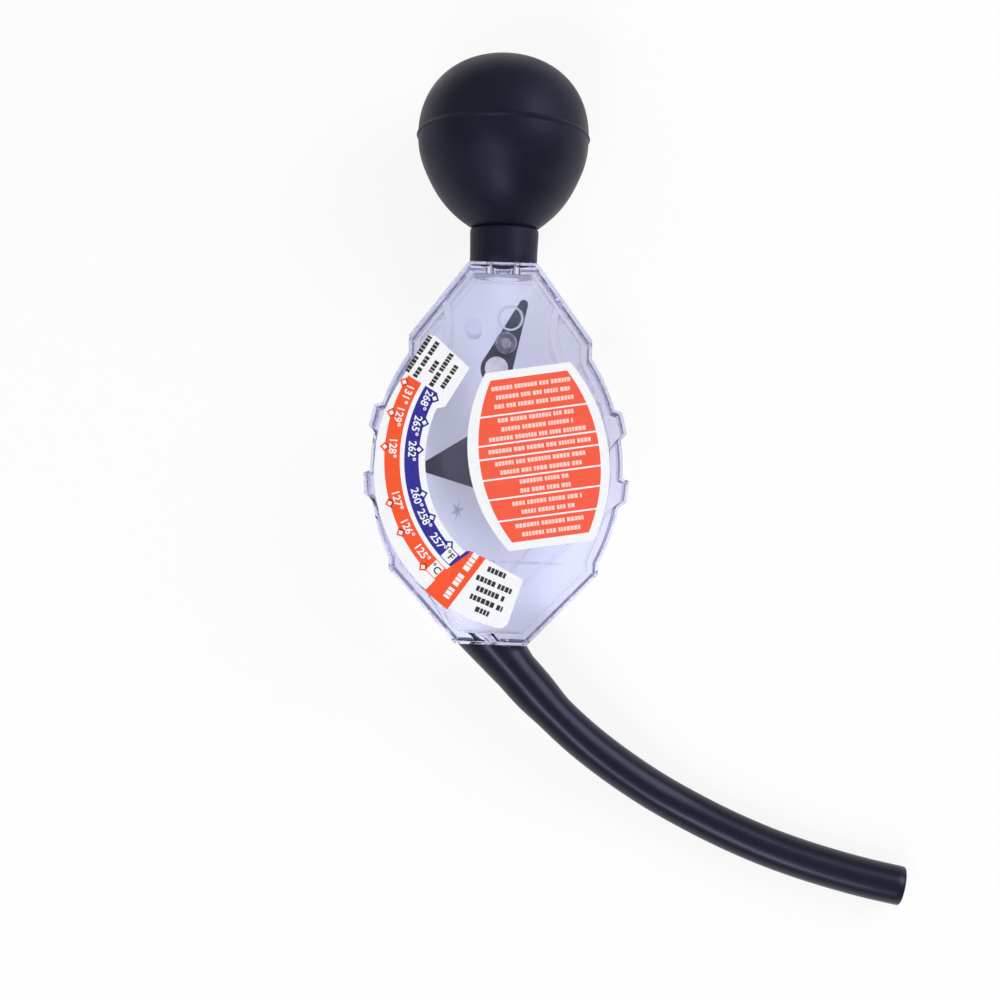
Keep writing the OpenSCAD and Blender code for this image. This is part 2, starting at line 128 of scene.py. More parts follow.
class NodeSketch:
    """A new material's node tree, with short ways to add nodes."""

    def __init__(self, name: str) -> None:
        """Starts an empty node tree.

        Args:
            name: the material's name.
        """
        self.material = bpy.data.materials.new(name)
        self.material.use_nodes = True
        self.tree = self.material.node_tree
        self.tree.nodes.clear()

    def feed(self, socket: NodeSocket, value: object) -> None:
        """Sets an input to a plain value, or joins it to an output.

        Args:
            socket: the input.
            value: the value or the output.
        """
        if isinstance(value, NodeSocket):
            self.tree.links.new(value, socket)
        else:
            socket.default_value = (*value, 1) if socket.type == "RGBA" else value

    def add(self, kind: str, *first: object, **named: object) -> Node:
        """Adds a node, sets it up and feeds its inputs.

        Args:
            kind: the node's type, without the word that every shader node's type starts with.
            first: what feeds its first inputs.
            named: its settings, in small letters, and what feeds other inputs by name, with _ for a space.

        Returns:
            The new node.
        """
        node = self.tree.nodes.new("ShaderNode" + kind)
        for socket, value in zip(node.inputs, first):
            self.feed(socket, value)
        for key, value in named.items():
            if key.islower():
                setattr(node, key, value)
            else:
                self.feed(node.inputs[key.replace("_", " ")], value)
        return node

    def place(self) -> NodeSocket:
        """Object coordinates."""
        return self.add("TexCoord").outputs["Object"]

    def stretched(self, vector: NodeSocket, scale: Place) -> NodeSocket:
        """Coordinates, stretched by a factor along each axis."""
        return self.add("Mapping", Vector=vector, Scale=scale).outputs["Vector"]

    def noise(self, vector: NodeSocket, scale: float, detail: float = 3.0) -> NodeSocket:
        """A noise pattern, by its fineness per metre and its octaves."""
        return self.add("TexNoise", Vector=vector, Scale=scale, Detail=detail).outputs["Fac"]

    def ramp(self, value: NodeSocket, low: float, high: float) -> NodeSocket:
        """A pattern's middle range, mapped to a range of numbers."""
        return self.add("MapRange", value, *PATTERN, low, high).outputs["Result"]

    def blend(self, value: NodeSocket, first: Colour, second: Colour) -> NodeSocket:
        """Mixes two colours by a pattern.

        Args:
            value: the pattern, 0 for the first colour and 1 for the second.
            first: the first colour.
            second: the second colour.

        Returns:
            The mixed colour.
        """
        node = self.add("Mix", value, data_type="RGBA")
        for place, colour in zip(MIX_COLOURS, (first, second)):
            self.feed(node.inputs[place], colour)
        return node.outputs[MIX_RESULT]

    def bump(self, height: NodeSocket, strength: float, distance: float, **under: NodeSocket) -> NodeSocket:
        """Relief from a pattern, by its strength and its depth, on another normal where one is given."""
        node = self.add("Bump", Height=height, Strength=strength, Distance=distance, **under)
        return node.outputs["Normal"]

    def mixed(self, share: NodeSocket, first: Node, second: Node) -> Node:
        """Two shaders, mixed by the second one's share."""
        return self.add("MixShader", share, first.outputs[0], second.outputs[0])

    def show(self, shader: Node, **body: NodeSocket) -> Material:
        """Shows a shader on the surface, and what fills the inside where that tints the light."""
        self.add("OutputMaterial", Surface=shader.outputs[0], **body)
        return self.material


@dataclass(frozen=True)
class Finish:
    """An opaque finish: clouds of two near colours, a range of gloss and a fine relief.

    The clouds have their fineness and their octaves, and the relief its strength and its depth. Where the
    patches of gloss or the grain have no fineness of their own, they follow the clouds.
    """

    name: str
    colour: Colour
    second: Colour
    gloss: Range = (0.35, 0.5)
    clouds: Range = (140.0, 5.0)
    patches: float = 0.0
    grain: float = 0.0
    relief: Range = (0.3, 0.00002)
    shine: float = 0.5
    sheen: Colour = (1.0, 1.0, 1.0)
    metallic: float = 0.0

    @cache
    def make(self) -> Material:
        """Makes the material, once.

        Returns:
            The material.
        """
        sketch = NodeSketch(self.name)
        place = self.coordinates(sketch)
        clouds = sketch.noise(place, *self.clouds)
        patches = sketch.noise(place, self.patches) if self.patches else clouds
        grain = sketch.noise(place, self.grain) if self.grain else clouds
        shader = sketch.add(
            "BsdfPrincipled",
            Base_Color=sketch.blend(sketch.ramp(clouds, 0, 1), self.colour, self.second),
            Roughness=sketch.ramp(patches, *self.gloss),
            Normal=sketch.bump(grain, *self.relief),
            Metallic=self.metallic,
            Specular_IOR_Level=self.shine,
            Specular_Tint=self.sheen,
        )
        return sketch.show(shader)

    def coordinates(self, sketch: NodeSketch) -> NodeSocket:
        """Where the patterns are read."""
        return sketch.place()


@dataclass(frozen=True)
class Rubber(Finish):
    """Black rubber with a fine moulded grain and a little dust bloom."""

    gloss: Range = (0.38, 0.52)
    clouds: Range = (90.0, 4.0)
    grain: float = 2600.0
    relief: Range = (0.35, 0.00002)
    shine: float = 0.28
    sheen: Colour = (0.6, 0.6, 1.0)


@dataclass(frozen=True)
class ExtrudedRubber(Rubber):
    """Rubber hose, with draw marks that run along it."""

    gloss: Range = (0.27, 0.38)
    grain: float = 1800.0
    shine: float = 0.35
    sheen: Colour = (0.64, 0.68, 1.0)
    attribute: str = "straight"
    draw: Place = (1.0, 1.0, 0.035)

    def coordinates(self, sketch: NodeSketch) -> NodeSocket:
        """The coordinates of the hose laid straight, drawn out along its length."""
        source = sketch.add("Attribute", attribute_name=self.attribute)
        return sketch.stretched(source.outputs["Vector"], self.draw)


@dataclass(frozen=True)
class Moulding(Finish):
    """Opaque moulded plastic with a fine spark texture."""

    patches: float = 700.0
    grain: float = 3200.0


@dataclass(frozen=True)
class Metal(Finish):
    """Turned or plated metal, with fine tool marks."""

    gloss: Range = (0.22, 0.4)
    clouds: Range = (900.0, 4.0)
    relief: Range = (0.2, 0.00002)
    metallic: float = 1.0
    draw: Place = (1.0, 1.0, 12.0)

    def coordinates(self, sketch: NodeSketch) -> NodeSocket:
        """Where the tool marks are read."""
        return sketch.stretched(sketch.place(), self.draw)


@dataclass(frozen=True)
class Film(Finish):
    """Printed label film: ink with a faint mottle under a satin coat."""

    gloss: Range = (0.36, 0.5)
    clouds: Range = (1500.0, 4.0)
    patches: float = 260.0
    grain: float = 420.0
    relief: Range = (0.12, 0.00003)
    shine: float = 0.4
    mottle: float = 0.06
    paper: float = 0.01

    @classmethod
    def printed(cls, name: str, colour: Colour) -> "Film":
        """Makes an ink that lies thinner in spots.

        Args:
            name: the finish's name.
            colour: the ink's full colour.

        Returns:
            The finish.
        """
        return cls(name, colour, tuple(min(1.0, c * (1 - cls.mottle) + cls.paper) for c in colour))


@dataclass(frozen=True)
class ClearPlastic:
    """Clear plastic with a faint violet tint, which lets the lamps shine through.

    Haze and ripple have their fineness and their octaves.
    """

    name: str
    tint: Colour
    shade: Colour
    depth_tint: Colour = (0.3, 0.3, 0.75)
    depth: float = 10.0
    index: float = 1.49
    haze: Range = (320.0, 4.0)
    gloss: Range = (0.015, 0.05)
    ripple: Range = (85.0, 2.0)
    relief: Range = (0.1, 0.0001)
    edge_radius: float = 0.0003
    edge_samples: int = 4

    @cache
    def make(self) -> Material:
        """Makes the material, once.

        Returns:
            The material.
        """
        sketch = NodeSketch(self.name)
        place = sketch.place()
        edges = sketch.add("Bevel", Radius=self.edge_radius, samples=self.edge_samples).outputs[0]
        shader = sketch.add(
            "BsdfPrincipled",
            Base_Color=self.tint,
            IOR=self.index,
            Transmission_Weight=1.0,
            Roughness=sketch.ramp(sketch.noise(place, *self.haze), *self.gloss),
            Normal=sketch.bump(sketch.noise(place, *self.ripple), *self.relief, Normal=edges),
        )
        through = sketch.add("BsdfTransparent", Color=self.shade)
        lamplight = sketch.add("LightPath").outputs["Is Shadow Ray"]
        body = sketch.add("VolumeAbsorption", Color=self.depth_tint, Density=self.depth)
        return sketch.show(sketch.mixed(lamplight, shader, through), Volume=body.outputs[0])


@dataclass(frozen=True)
class FaintMark:
    """A faint, partly see-through mark on clear plastic: frost for most of them, a painted highlight for the
    sight ring.
    """

    name: str
    colour: Colour
    cover: Range
    grain: float = 900.0
    roughness: float = 0.45

    @cache
    def make(self) -> Material:
        """Makes the material, once.

        Returns:
            The material.
        """
        sketch = NodeSketch(self.name)
        cover = sketch.ramp(sketch.noise(sketch.place(), self.grain), *self.cover)
        return sketch.show(
            sketch.add("BsdfPrincipled", Base_Color=self.colour, Roughness=self.roughness, Alpha=cover)
        )


AnyFinish = Finish | ClearPlastic | FaintMark

# the sight ring's pale line is a painted highlight: light caught on its fine moulded ridge, painted in a pale
# tint
SIGHT_RING_HIGHLIGHT = FaintMark("sight_ring_painted_highlight", (0.67, 0.69, 0.91), (0.5, 0.75))
GATE_FROST = FaintMark("gate_frost", (0.67, 0.69, 0.91), (0.03, 0.1))
# a small dark violet star-shaped mark on the chamber floor
DARK_STAR = FaintMark("dark_star_mark", (0.26, 0.22, 0.4), (0.1, 0.32))
FILL_FROST = FaintMark("fill_line_frost", (0.42, 0.42, 0.6), (0.08, 0.22))
BULB_RUBBER = Rubber("bulb_rubber", (0.0045, 0.0053, 0.0108), (0.008, 0.009, 0.0165))
HOSE_RUBBER = ExtrudedRubber("hose_rubber", (0.0055, 0.006, 0.0135), (0.0095, 0.0102, 0.02))
CLEAR = ClearPlastic("clear_plastic", (0.9, 0.905, 1.0), (0.945, 0.948, 0.972))
POINTER = Moulding("pointer_plastic", (0.034, 0.036, 0.066), (0.052, 0.055, 0.094))
BRASS = Metal("weight_brass", (0.72, 0.52, 0.2), (0.5, 0.35, 0.13))
PLATED = Metal("weight_plated", (0.97, 0.95, 0.96), (0.86, 0.82, 0.85), (0.55, 0.75))
STEEL = Metal("axle_steel", (0.55, 0.55, 0.58), (0.4, 0.4, 0.43))
WHITE_FILM = Film.printed("white_film", (0.945, 0.952, 0.972))
ORANGE_INK = Film.printed("orange_ink", (0.98, 0.085, 0.012))
RED_INK = Film.printed("advice_ink", (0.97, 0.105, 0.05))
BLUE_INK = Film.printed("blue_ink", (0.018, 0.013, 0.3))
DARK_INK = Film.printed("dark_ink", (0.018, 0.018, 0.022))
PALE_INK = Film.printed("pale_ink", (0.93, 0.68, 0.6))


# Shaping


def meshed(name: str, shape: BMesh) -> Mesh:
    """Turns a shape into a mesh.

    Args:
        name: the mesh's name.
        shape: the shape, which is used up.

    Returns:
        The mesh.
    """
    mesh = bpy.data.meshes.new(name)
    shape.to_mesh(mesh)
    shape.free()
    return mesh


def linked(name: str, data: ID) -> Object:
    """Puts a mesh, a lamp or a camera into the scene.

    Args:
        name: the object's name.
        data: what it shows.

    Returns:
        The object.
    """
    made = bpy.data.objects.new(name, data)
    bpy.context.scene.collection.objects.link(made)
    return made


def spun(section: list[Point], steps: int, closed: bool = False) -> BMesh:
    """Spins a half section about +Y.

    Args:
        section: (radius, height) points.
        steps: pieces in the full turn.
        closed: whether the section's ends join, as a ring's do.

    Returns:
        The closed shape.
    """
    shape = bmesh.new()
    verts = [shape.verts.new((r, y, 0)) for r, y in section]
    pairs = list(zip(verts, verts[1:])) + ([(verts[-1], verts[0])] if closed else [])
    edges = [shape.edges.new(pair) for pair in pairs]
    bmesh.ops.spin(
        shape, geom=verts + edges, cent=(0, 0, 0), axis=(0, 1, 0), angle=FULL_TURN, steps=steps,
        use_merge=True,
    )
    bmesh.ops.remove_doubles(shape, verts=shape.verts, dist=MERGE)
    bmesh.ops.recalc_face_normals(shape, faces=shape.faces)
    return shape


def bezier(a: Vector, b: Vector, c: Vector, d: Vector, steps: int) -> list[Point]:
    """Samples a cubic curve.

    Args:
        a: where it starts.
        b: what it heads for at its start.
        c: what it comes from at its end.
        d: where it ends.
        steps: pieces along it.

    Returns:
        Its points, both ends included.
    """
    found = []
    for i in range(steps + 1):
        t = i / steps
        p = a * (1 - t) ** 3 + b * 3 * t * (1 - t) ** 2 + c * 3 * t * t * (1 - t) + d * t**3
        found.append((p.x, p.y))
    return found


@dataclass(frozen=True)
class Lie:
    """How the object lies: from the housing's frame in millimetres to the row frame in metres."""

    matrix: Matrix

    @classmethod
    def from_pivot(cls, joint: dict, pivot: Vector) -> "Lie":
        """Reads the tilt and the place from a joint.

        Args:
            joint: a joint whose axis is the housing's Z.
            pivot: the joint's place in the housing's frame.

        Returns:
            The lie.
        """
        axis = Vector(joint["axis"])
        turn = Matrix.Rotation(math.atan2(-axis.y, axis.z), 4, "X") @ Matrix.Scale(MM, 4)
        return cls(Matrix.Translation(Vector(joint["pos_m"]) - turn @ pivot) @ turn)

    def point(self, place: Place) -> Vector:
        """A place in the row frame."""
        return self.matrix @ Vector(place)

    def along(self) -> Vector:
        """The housing's axis in the row frame, towards the bulb."""
        return (self.matrix.to_3x3() @ Vector((0, 1, 0))).normalized()


@dataclass
class Maker:
    """Turns shapes into pieces that ride on the frame."""

    lie: Lie

    def piece(
        self, name: str, shape: BMesh, finish: AnyFinish, slot: Slot, body: Body = Body.HOUSING,
        sharp: float = 40.0,
    ) -> Object:
        """Makes a piece from a shape in the housing's frame.

        Args:
            name: the piece's name.
            shape: the shape, which is used up.
            finish: what it is made of.
            slot: the record's slot that its finish belongs to; not used.
            body: the body it rides on.
            sharp: the angle past which an edge stays sharp.

        Returns:
            The piece's object.
        """
        shape.transform(self.lie.matrix)
        mesh = meshed(name, shape)
        mesh.shade_smooth()
        mesh.set_sharp_from_angle(angle=math.radians(sharp))
        mesh.materials.append(finish.make())
        made = linked(name, mesh)
        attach(made, body.value)
        return made

    def copy(self, node: Object) -> BMesh:
        """Copies a solid into the housing's frame.

        Args:
            node: the solid.

        Returns:
            The copy, with its triangles merged.
        """
        shape = bmesh.new()
        shape.from_mesh(node.data)
        shape.transform(self.lie.matrix.inverted())
        bmesh.ops.remove_doubles(shape, verts=shape.verts, dist=MERGE)
        return shape

    def dress(self, node: Object, finish: AnyFinish) -> None:
        """Gives a CAD node a finish."""
        node.data.materials.clear()
        node.data.materials.append(finish.make())


@dataclass
class Sheet:
    """A thin layer, gathered from flat shapes and then given its thickness.

    The sizes of blank print are in heights of its blocks.
    """

    base: float
    top: float
    shape: BMesh = field(default_factory=bmesh.new)
    letters_in_word: tuple[int, int] = (3, 7)
    letter_width: Range = (0.45, 0.8)
    letter_gap: float = 0.16
    word_gap: float = 0.55
    shortest: float = 0.3
    curve_steps: int = 3
    stroke: float = 0.018
    merge: float = 1e-5

    @classmethod
    def on_label(cls, layer: Layer) -> "Sheet":
        """Starts a layer of print on a label."""
        return cls(LABEL_FACE - PRINT_FOOT, LABEL_FACE + layer.value)

    def place(self, centre: Point, along: Point) -> Matrix:
        """Where a flat shape goes, by its middle and the direction of its own x axis."""
        turn = Matrix.Rotation(math.atan2(along[1], along[0]), 4, "Z")
        return Matrix.Translation((*centre, self.base)) @ turn

    def outline(self, points: Iterable[Point], lift: float = 0.0) -> None:
        """Adds a flat shape by its corners, lifted where it covers some of the layer."""
        self.shape.faces.new([self.shape.verts.new((x, y, self.base + lift)) for x, y in points])

    def block(self, centre: Point, along: Point, length: float, width: float) -> None:
        """Adds a block by its middle, its direction and its size."""
        matrix = self.place(centre, along) @ Matrix.Diagonal((length, width, 1, 1))
        bmesh.ops.create_grid(self.shape, x_segments=1, y_segments=1, size=0.5, matrix=matrix)

    def diamond(self, centre: Point, along: Point, half: float) -> None:
        """Adds a diamond by its middle, the direction of a corner and half its width."""
        matrix = self.place(centre, along)
        bmesh.ops.create_circle(self.shape, cap_ends=True, segments=4, radius=half, matrix=matrix)

    def word_bars(
        self, centre: Point, along: Point, length: float, height: float, dice: random.Random
    ) -> None:
        """Adds a line of blank print: rows of small blocks, in groups as long as words.

        Args:
            centre: the line's middle.
            along: its direction, of length 1.
            length: its length.
            height: the blocks' height.
            dice: what decides the groups.
        """
        at, left = -length / 2, dice.randint(*self.letters_in_word)
        while at < length / 2 - height * self.shortest:
            wide = min(height * dice.uniform(*self.letter_width), length / 2 - at)
            middle = Vector(centre) + Vector(along) * (at + wide / 2)
            self.block((middle.x, middle.y), along, wide, height)
            left -= 1
            at += wide + height * (self.letter_gap if left else self.word_gap)
            left = left or dice.randint(*self.letters_in_word)

    def band(self, centre: Point, radii: Range, start: float, end: float, steps: int) -> None:
        """Adds part of a ring.

        Args:
            centre: the ring's centre.
            radii: its inner and its outer radius.
            start: the angle where the part starts.
            end: the angle where it ends.
            steps: pieces along it.
        """
        (x, y), a = centre, math.radians(start)
        verts = [self.shape.verts.new((x + r * math.cos(a), y + r * math.sin(a), self.base)) for r in radii]
        edge = self.shape.edges.new(verts)
        bmesh.ops.spin(
            self.shape, geom=[*verts, edge], cent=(x, y, self.base), axis=UP, angle=math.radians(end - start),
            steps=steps, use_merge=False,
        )

    def lettering(self, text: str, size: float, centre: Point, along: Point) -> None:
        """Adds digits or signs.

        Args:
            text: what to write.
            size: the type size.
            centre: the middle of the text.
            along: its reading direction, of length 1.
        """
        curve = bpy.data.curves.new("lettering", "FONT")
        curve.body, curve.size = text, size
        curve.align_x = curve.align_y = "CENTER"
        curve.resolution_u = self.curve_steps
        curve.offset = size * self.stroke
        holder = bpy.data.objects.new("lettering", curve)
        mesh = holder.to_mesh()
        mesh.transform(self.place(centre, along))
        self.shape.from_mesh(mesh)
        holder.to_mesh_clear()
        bpy.data.objects.remove(holder)
        bpy.data.curves.remove(curve)

    def thick(self) -> BMesh:
        """Gives the layer its thickness.

        Returns:
            Its shape.
        """
        bmesh.ops.remove_doubles(self.shape, verts=self.shape.verts, dist=self.merge)
        bmesh.ops.recalc_face_normals(self.shape, faces=self.shape.faces)
        raised = bmesh.ops.extrude_face_region(self.shape, geom=self.shape.faces[:], use_keep_orig=True)
        tops = [v for v in raised["geom"] if isinstance(v, BMVert)]
        bmesh.ops.translate(self.shape, verts=tops, vec=(0, 0, self.top - self.base))
        bmesh.ops.recalc_face_normals(self.shape, faces=self.shape.faces)
        return self.shape


# Studio


@dataclass(frozen=True)
class Lamp:
    """A soft lamp: its place, what its long side lies nearest to, its length and width, and its watts."""

    name: str
    place: Place
    run: Place
    size: Point
    power: float

    def hang(self, target: Vector) -> None:
        """Hangs the lamp so that it looks at the object.

        Args:
            target: the object's middle.
        """
        light = bpy.data.lights.new(self.name, "AREA")
        light.shape = "RECTANGLE"
        light.size, light.size_y = self.size
        light.energy = self.power
        back = (Vector(self.place) - target).normalized()
        across = back.cross(Vector(self.run)).normalized()
        turn = Matrix((across.cross(back), across, back)).transposed().to_4x4()
        linked(self.name, light).matrix_world = Matrix.Translation(self.place) @ turn


@dataclass
class Studio:
    """The floor, the lamps and the camera of the photograph."""

    target: Place = (0.0008, -0.0224, 0.012)
    distance: float = 0.37
    elevation: float = 85.6
    roll: float = 1.88
    view_width: float = 0.1822
    sensor_width: float = 36.0
    clip: Range = (0.01, 20.0)
    floor_size: float = 30.0
    floor_height: float = -0.0001
    floor_colour: Colour = (0.93, 0.93, 0.935)
    floor_glow: tuple[tuple[str, float], ...] = (
        ("Is Camera Ray", 0.85), ("Is Glossy Ray", 0.35), ("Is Transmission Ray", 0.35),
    )
    world_colour: Colour = (0.97, 0.98, 1.0)
    world_light: float = 0.43
    light_bounces: int = 24
    lamps: tuple[Lamp, ...] = (
        Lamp("key", (0.63, 0.3, 0.57), (-0.4, 0.9, 0.0), (0.55, 0.55), 3.9),
        Lamp("fill", (-0.135, -0.535, 0.62), (0.51, -0.69, -0.5), (0.7, 0.12), 2.9),
    )

    def camera(self) -> None:
        """Places the camera at the photograph's viewing angle."""
        lens = bpy.data.cameras.new("photo_view")
        lens.sensor_width = self.sensor_width
        lens.lens = self.sensor_width * self.distance / self.view_width
        lens.clip_start, lens.clip_end = self.clip
        a, e = math.radians(self.roll), math.radians(self.elevation)
        up = Vector((-math.sin(a), math.cos(a), 0))
        back = -up * math.cos(e) + UP * math.sin(e)
        right = up.cross(UP)
        turn = Matrix((right, back.cross(right), back)).transposed().to_4x4()
        holder = linked("photo_view", lens)
        holder.matrix_world = Matrix.Translation(Vector(self.target) + back * self.distance) @ turn
        bpy.context.scene.camera = holder

    def paper(self) -> Material:
        """Makes the floor's material, which looks white and keeps the object's shadow.

        Returns:
            The material.
        """
        sketch = NodeSketch("floor")
        paper = sketch.add("BsdfDiffuse", Color=self.floor_colour)
        glow = sketch.add("Emission", Strength=1.0)
        path = sketch.add("LightPath")
        share = None
        for way, part in self.floor_glow:
            term = sketch.add("Math", path.outputs[way], part, operation="MULTIPLY").outputs[0]
            if share is not None:
                term = sketch.add("Math", share, term, operation="MAXIMUM").outputs[0]
            share = term
        return sketch.show(sketch.mixed(share, paper, glow))

    def floor(self) -> None:
        """Lays a plain pale floor."""
        shape = bmesh.new()
        bmesh.ops.create_grid(shape, x_segments=1, y_segments=1, size=self.floor_size / 2)
        floor = linked("floor", meshed("floor", shape))
        floor.location.z = self.floor_height
        floor.data.materials.append(self.paper())

    def light(self) -> None:
        """Sets the world and the lamps, and lets the light run to its end inside the clear plastic."""
        world = bpy.data.worlds.new("studio")
        world.use_nodes = True
        sky = world.node_tree.nodes["Background"]
        sky.inputs["Color"].default_value = (*self.world_colour, 1)
        sky.inputs["Strength"].default_value = self.world_light
        scene = bpy.context.scene
        scene.world = world
        for lamp in self.lamps:
            lamp.hang(Vector(self.target))
        scene.view_settings.view_transform = "Standard"
        paths = scene.cycles
        paths.max_bounces = paths.glossy_bounces = paths.transmission_bounces = self.light_bounces

    def build(self) -> None:
        """Sets the whole studio up."""
        self.camera()
        self.floor()
        self.light()


# Sub-assemblies


@dataclass
class SubAssembly:
    """Pieces that belong together, and what makes them."""

    maker: Maker


@dataclass
class Hose(SubAssembly):
    """The suction hose, along the route of its solid.

    It narrows where it leaves the spout. Places along the route are in spans from one of its points to the
    next.
    """

    diameter: float = 7.2
    bore: float = 4.6
    mouth: float = 8.2
    mouth_bore: float = 5.5
    flare: float = 1.12
    mouth_lift: float = -0.04
    length: float = 90.0
    narrows_at: float = 1.4
    narrows_over: float = 1.4
    cut_rim: float = 0.95
    cut_lip: float = 0.216
    sides: int = 40
    rings_per_span: int = 5
    sharp: float = 60.0
    route: tuple[Place, ...] = (
        (0, 0, 0), (4.8, -5, 0), (9.6, -10, 0), (13.2, -13.5, -0.2), (17.4, -17.1, -0.8),
        (21.9, -20.5, -1.8), (26.6, -23.7, -2.9), (31.5, -26.7, -3.85), (36.6, -29.4, -4.35),
        (41.8, -31.9, -4.35), (47.2, -34.2, -4.2), (52.8, -36.3, -4.1), (58.5, -38.1, -3.95),
        (64.4, -39.7, -3.85), (70.4, -41.1, -3.75), (76.6, -42.3, -3.7),
    )

    def smooth_route(self) -> list[tuple[Vector, float]]:
        """Fills the route in.

        Returns:
            Points of a smooth curve through the route, each with its place along it.
        """
        given = [Vector(p) for p in self.route]
        line = [given[0] * 2 - given[1], *given, given[-1] * 2 - given[-2]]
        found = []
        for i in range(len(given) - 1):
            a, b, c, d = line[i : i + 4]
            for k in range(self.rings_per_span):
                t = k / self.rings_per_span
                p = b * 2 + (c - a) * t + (a * 2 - b * 5 + c * 4 - d) * t * t + (b * 3 - a - c * 3 + d) * t**3
                found.append((p / 2, i + t))
        return [*found, (given[-1], len(given) - 1.0)]

    def radius(self, at: float, stretched: float, free: float) -> float:
        """The radius at a place along the route, between that on the spout and that of the free hose."""
        t = min(1.0, max(0.0, (at - self.narrows_at) / self.narrows_over))
        return stretched + (free - stretched) * t * t * (3 - 2 * t)

    def frames(self, stretched: float, free: float) -> list[tuple[Matrix, float]]:
        """Places rings along the hose.

        Args:
            stretched: the radius on the spout.
            free: the radius of the free hose.

        Returns:
            For each ring the matrix that places a circle of radius 1, and its distance along the hose.
        """
        points = self.smooth_route()
        found, run = [], 0.0
        for i, (p, at) in enumerate(points):
            before, after = points[max(i - 1, 0)][0], points[min(i + 1, len(points) - 1)][0]
            run += (p - before).length
            ahead = (after - before).normalized()
            side = UP.cross(ahead).normalized()
            r = self.radius(at, stretched, free)
            turn = Matrix((side * r, ahead.cross(side) * r, ahead)).transposed().to_4x4()
            found.append((Matrix.Translation(p) @ turn, run))
        return found

    def rings(self) -> list[tuple[Matrix, float]]:
        """Places all the rings, from the mouth along the outside to the cut end, and back along the bore.

        Returns:
            What frames gives, for each of them.
        """
        outside = self.frames(self.mouth / 2, self.diameter / 2)
        inside = self.frames(self.mouth_bore / 2, self.bore / 2)
        mouth = (outside[0][0] @ Matrix.Diagonal((self.flare, self.flare, 1, 1)), 0.0)
        rim = Matrix.Diagonal((self.cut_rim, self.cut_rim, 1, 1)) @ Matrix.Translation((0, 0, self.cut_lip))
        end, run = outside[-1]
        # the rings next to the first would lie behind the slanted mouth
        there, back = outside[self.rings_per_span :], inside[: self.rings_per_span - 1 : -1]
        return [mouth, *there, (end @ rim, run), *back, inside[0]]

    def against_housing(self) -> Matrix:
        """Finds the slant that lays the mouth flat against the end of the housing.

        Returns:
            The slant.
        """
        ahead = (Vector(self.route[1]) - Vector(self.route[0])).normalized()
        slant = Matrix.Identity(4)
        for i in range(3):
            slant[i][1] -= ahead[i] / ahead.y
            slant[i][3] -= ahead[i] * self.mouth_lift / ahead.y
        return slant

    def sweep(self) -> BMesh:
        """Sweeps the hose, inside and out.

        Returns:
            Its shape, which keeps where each point lies on the hose laid straight.
        """
        (last, _), *rings = self.rings()
        shape = bmesh.new()
        straight = shape.verts.layers.float_vector.new(HOSE_RUBBER.attribute)
        ring = bmesh.ops.create_circle(shape, cap_ends=False, segments=self.sides, radius=1)["verts"]
        for v in ring:
            v[straight] = v.co * self.diameter / 2 * MM
        mouth, rim = ring, shape.edges[:]
        edges = rim
        bmesh.ops.transform(shape, matrix=last, verts=ring)
        for matrix, run in rings:
            grown = bmesh.ops.extrude_edge_only(shape, edges=edges)["geom"]
            ring = [g for g in grown if isinstance(g, BMVert)]
            edges = [g for g in grown if isinstance(g, BMEdge)]
            bmesh.ops.transform(shape, matrix=matrix @ last.inverted(), verts=ring)
            for v in ring:
                v[straight] = Vector((*v[straight].xy, run * MM))
            last = matrix
        bmesh.ops.transform(shape, matrix=self.against_housing(), verts=[*mouth, *ring])
        bmesh.ops.bridge_loops(shape, edges=[*rim, *edges])
        bmesh.ops.recalc_face_normals(shape, faces=shape.faces)
        return shape

    def build(self) -> list[Object]:
        """Returns:
            The hose.
        """
        made = self.maker.piece("hose", self.sweep(), HOSE_RUBBER, Slot.HOSE, sharp=self.sharp)
        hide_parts("suction_hose")
        return [made]


